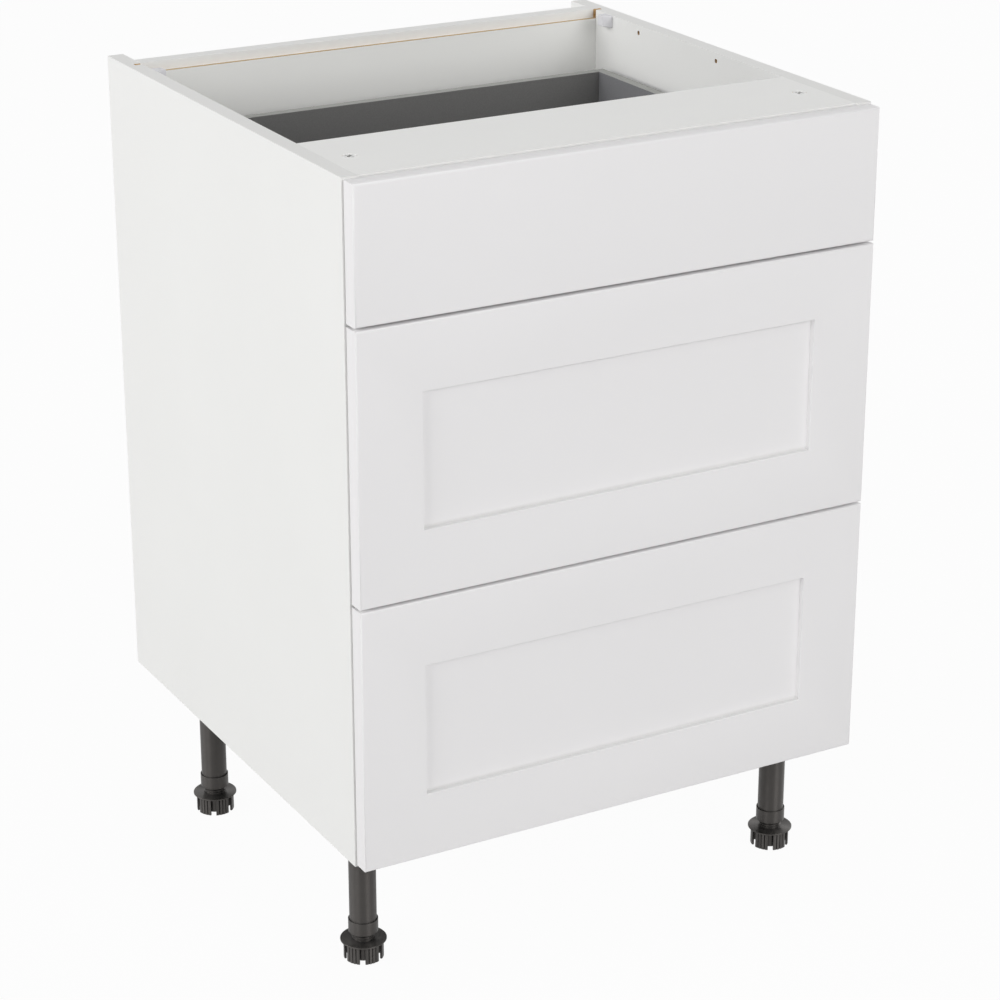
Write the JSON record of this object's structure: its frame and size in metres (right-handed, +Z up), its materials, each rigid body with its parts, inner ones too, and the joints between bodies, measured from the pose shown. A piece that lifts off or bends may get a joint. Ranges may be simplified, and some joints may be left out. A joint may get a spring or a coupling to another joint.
{
  "type": "base cabinet with drawers",
  "caption": "Kitchen base cabinet with a slab drawer over deep framed drawers, on roller runners and adjustable legs, open on top for a worktop.",
  "frame": {"origin": "on the floor, under the middle of the cabinet's outline with the drawers closed", "axes": "+Z up, +X to the right seen from the front, the drawers open towards -Y"},
  "size_m": [0.6, 0.5896, 0.87],
  "materials": {
    "white_board": "white melamine-faced particleboard, satin",
    "back_board": "white-faced fibreboard with raw brown edges",
    "white_plastic": "white moulded plastic, fine matt",
    "zinc": "die-cast zinc, dull",
    "steel": "zinc-plated steel",
    "beech": "fluted beech, raw",
    "black_plastic": "black moulded plastic, satin",
    "white_front": "white foil-wrapped fibreboard, satin",
    "grey_board": "dark grey laminated board, matt",
    "coated_steel": "white epoxy-coated steel, satin",
    "nylon": "natural nylon, matt"
  },
  "bodies": {
    "cabinet": {"side_panel_left": "white_board", "side_panel_right": "white_board", "base_panel": "white_board", "front_rail": "white_board", "rear_rail": "white_board", "back_panel": "back_board", "corner_block_left": "white_plastic", "corner_block_right": "white_plastic", "cam_locks": "zinc", "cam_bolts": "steel", "leg_screws": "steel", "runner_screws": "steel", "dowels": "beech", "leg_socket_front_left": "black_plastic", "leg_socket_front_right": "black_plastic", "leg_socket_rear_left": "black_plastic", "leg_socket_rear_right": "black_plastic", "leg_tube_front_left": "black_plastic", "leg_tube_front_right": "black_plastic", "leg_tube_rear_left": "black_plastic", "leg_tube_rear_right": "black_plastic", "top_runner_fixed": "coated_steel", "middle_runner_fixed": "coated_steel", "bottom_runner_fixed": "coated_steel"},
    "drawer_top": {"top_front": "white_front", "top_box_front": "grey_board", "top_box_left": "grey_board", "top_box_right": "grey_board", "top_box_back": "grey_board", "top_box_bottom": "grey_board", "top_front_screws": "steel", "top_runner_moving": "coated_steel"},
    "rollers_front_top": {"top_rollers_front": "nylon"},
    "rollers_rear_top": {"top_rollers_rear": "nylon"},
    "drawer_middle": {"middle_front": "white_front", "middle_box_front": "grey_board", "middle_box_left": "grey_board", "middle_box_right": "grey_board", "middle_box_back": "grey_board", "middle_box_bottom": "grey_board", "middle_front_screws": "steel", "middle_runner_moving": "coated_steel"},
    "rollers_front_middle": {"middle_rollers_front": "nylon"},
    "rollers_rear_middle": {"middle_rollers_rear": "nylon"},
    "drawer_bottom": {"bottom_front": "white_front", "bottom_box_front": "grey_board", "bottom_box_left": "grey_board", "bottom_box_right": "grey_board", "bottom_box_back": "grey_board", "bottom_box_bottom": "grey_board", "bottom_front_screws": "steel", "bottom_runner_moving": "coated_steel"},
    "rollers_front_bottom": {"bottom_rollers_front": "nylon"},
    "rollers_rear_bottom": {"bottom_rollers_rear": "nylon"},
    "levelling_foot_front_left": {"foot_front_left": "black_plastic"},
    "levelling_foot_front_right": {"foot_front_right": "black_plastic"},
    "levelling_foot_rear_left": {"foot_rear_left": "black_plastic"},
    "levelling_foot_rear_right": {"foot_rear_right": "black_plastic"}
  },
  "joints": [
    {"name": "top_drawer_slide", "type": "slide", "parent": "cabinet", "child": "drawer_top", "axis": [0, -1, 0], "range_m": [0, 0.335]},
    {"name": "top_front_rollers_turn", "type": "hinge", "parent": "cabinet", "child": "rollers_front_top", "pos_m": [0, -0.25625, 0.7563], "axis": [1, 0, 0], "range_deg": [0, 1620]},
    {"name": "top_rear_rollers_turn", "type": "hinge", "parent": "drawer_top", "child": "rollers_rear_top", "pos_m": [0, 0.16175, 0.75705], "axis": [1, 0, 0], "range_deg": [0, 1620]},
    {"name": "middle_drawer_slide", "type": "slide", "parent": "cabinet", "child": "drawer_middle", "axis": [0, -1, 0], "range_m": [0, 0.335]},
    {"name": "middle_front_rollers_turn", "type": "hinge", "parent": "cabinet", "child": "rollers_front_middle", "pos_m": [0, -0.25625, 0.4683], "axis": [1, 0, 0], "range_deg": [0, 1620]},
    {"name": "middle_rear_rollers_turn", "type": "hinge", "parent": "drawer_middle", "child": "rollers_rear_middle", "pos_m": [0, 0.16175, 0.46905], "axis": [1, 0, 0], "range_deg": [0, 1620]},
    {"name": "bottom_drawer_slide", "type": "slide", "parent": "cabinet", "child": "drawer_bottom", "axis": [0, -1, 0], "range_m": [0, 0.335]},
    {"name": "bottom_front_rollers_turn", "type": "hinge", "parent": "cabinet", "child": "rollers_front_bottom", "pos_m": [0, -0.25625, 0.1983], "axis": [1, 0, 0], "range_deg": [0, 1620]},
    {"name": "bottom_rear_rollers_turn", "type": "hinge", "parent": "drawer_bottom", "child": "rollers_rear_bottom", "pos_m": [0, 0.16175, 0.19905], "axis": [1, 0, 0], "range_deg": [0, 1620]},
    {"name": "front_left_foot_adjust", "type": "slide", "parent": "cabinet", "child": "levelling_foot_front_left", "axis": [0, 0, -1], "range_m": [-0.008, 0.02]},
    {"name": "front_right_foot_adjust", "type": "slide", "parent": "cabinet", "child": "levelling_foot_front_right", "axis": [0, 0, -1], "range_m": [-0.008, 0.02]},
    {"name": "rear_left_foot_adjust", "type": "slide", "parent": "cabinet", "child": "levelling_foot_rear_left", "axis": [0, 0, -1], "range_m": [-0.008, 0.02]},
    {"name": "rear_right_foot_adjust", "type": "slide", "parent": "cabinet", "child": "levelling_foot_rear_right", "axis": [0, 0, -1], "range_m": [-0.008, 0.02]}
  ],
  "couplings": [
    {"joint": "top_front_rollers_turn", "follows": "top_drawer_slide", "rad_per_m": 83.333},
    {"joint": "top_rear_rollers_turn", "follows": "top_drawer_slide", "rad_per_m": 78.431},
    {"joint": "middle_front_rollers_turn", "follows": "middle_drawer_slide", "rad_per_m": 83.333},
    {"joint": "middle_rear_rollers_turn", "follows": "middle_drawer_slide", "rad_per_m": 78.431},
    {"joint": "bottom_front_rollers_turn", "follows": "bottom_drawer_slide", "rad_per_m": 83.333},
    {"joint": "bottom_rear_rollers_turn", "follows": "bottom_drawer_slide", "rad_per_m": 78.431}
  ]
}
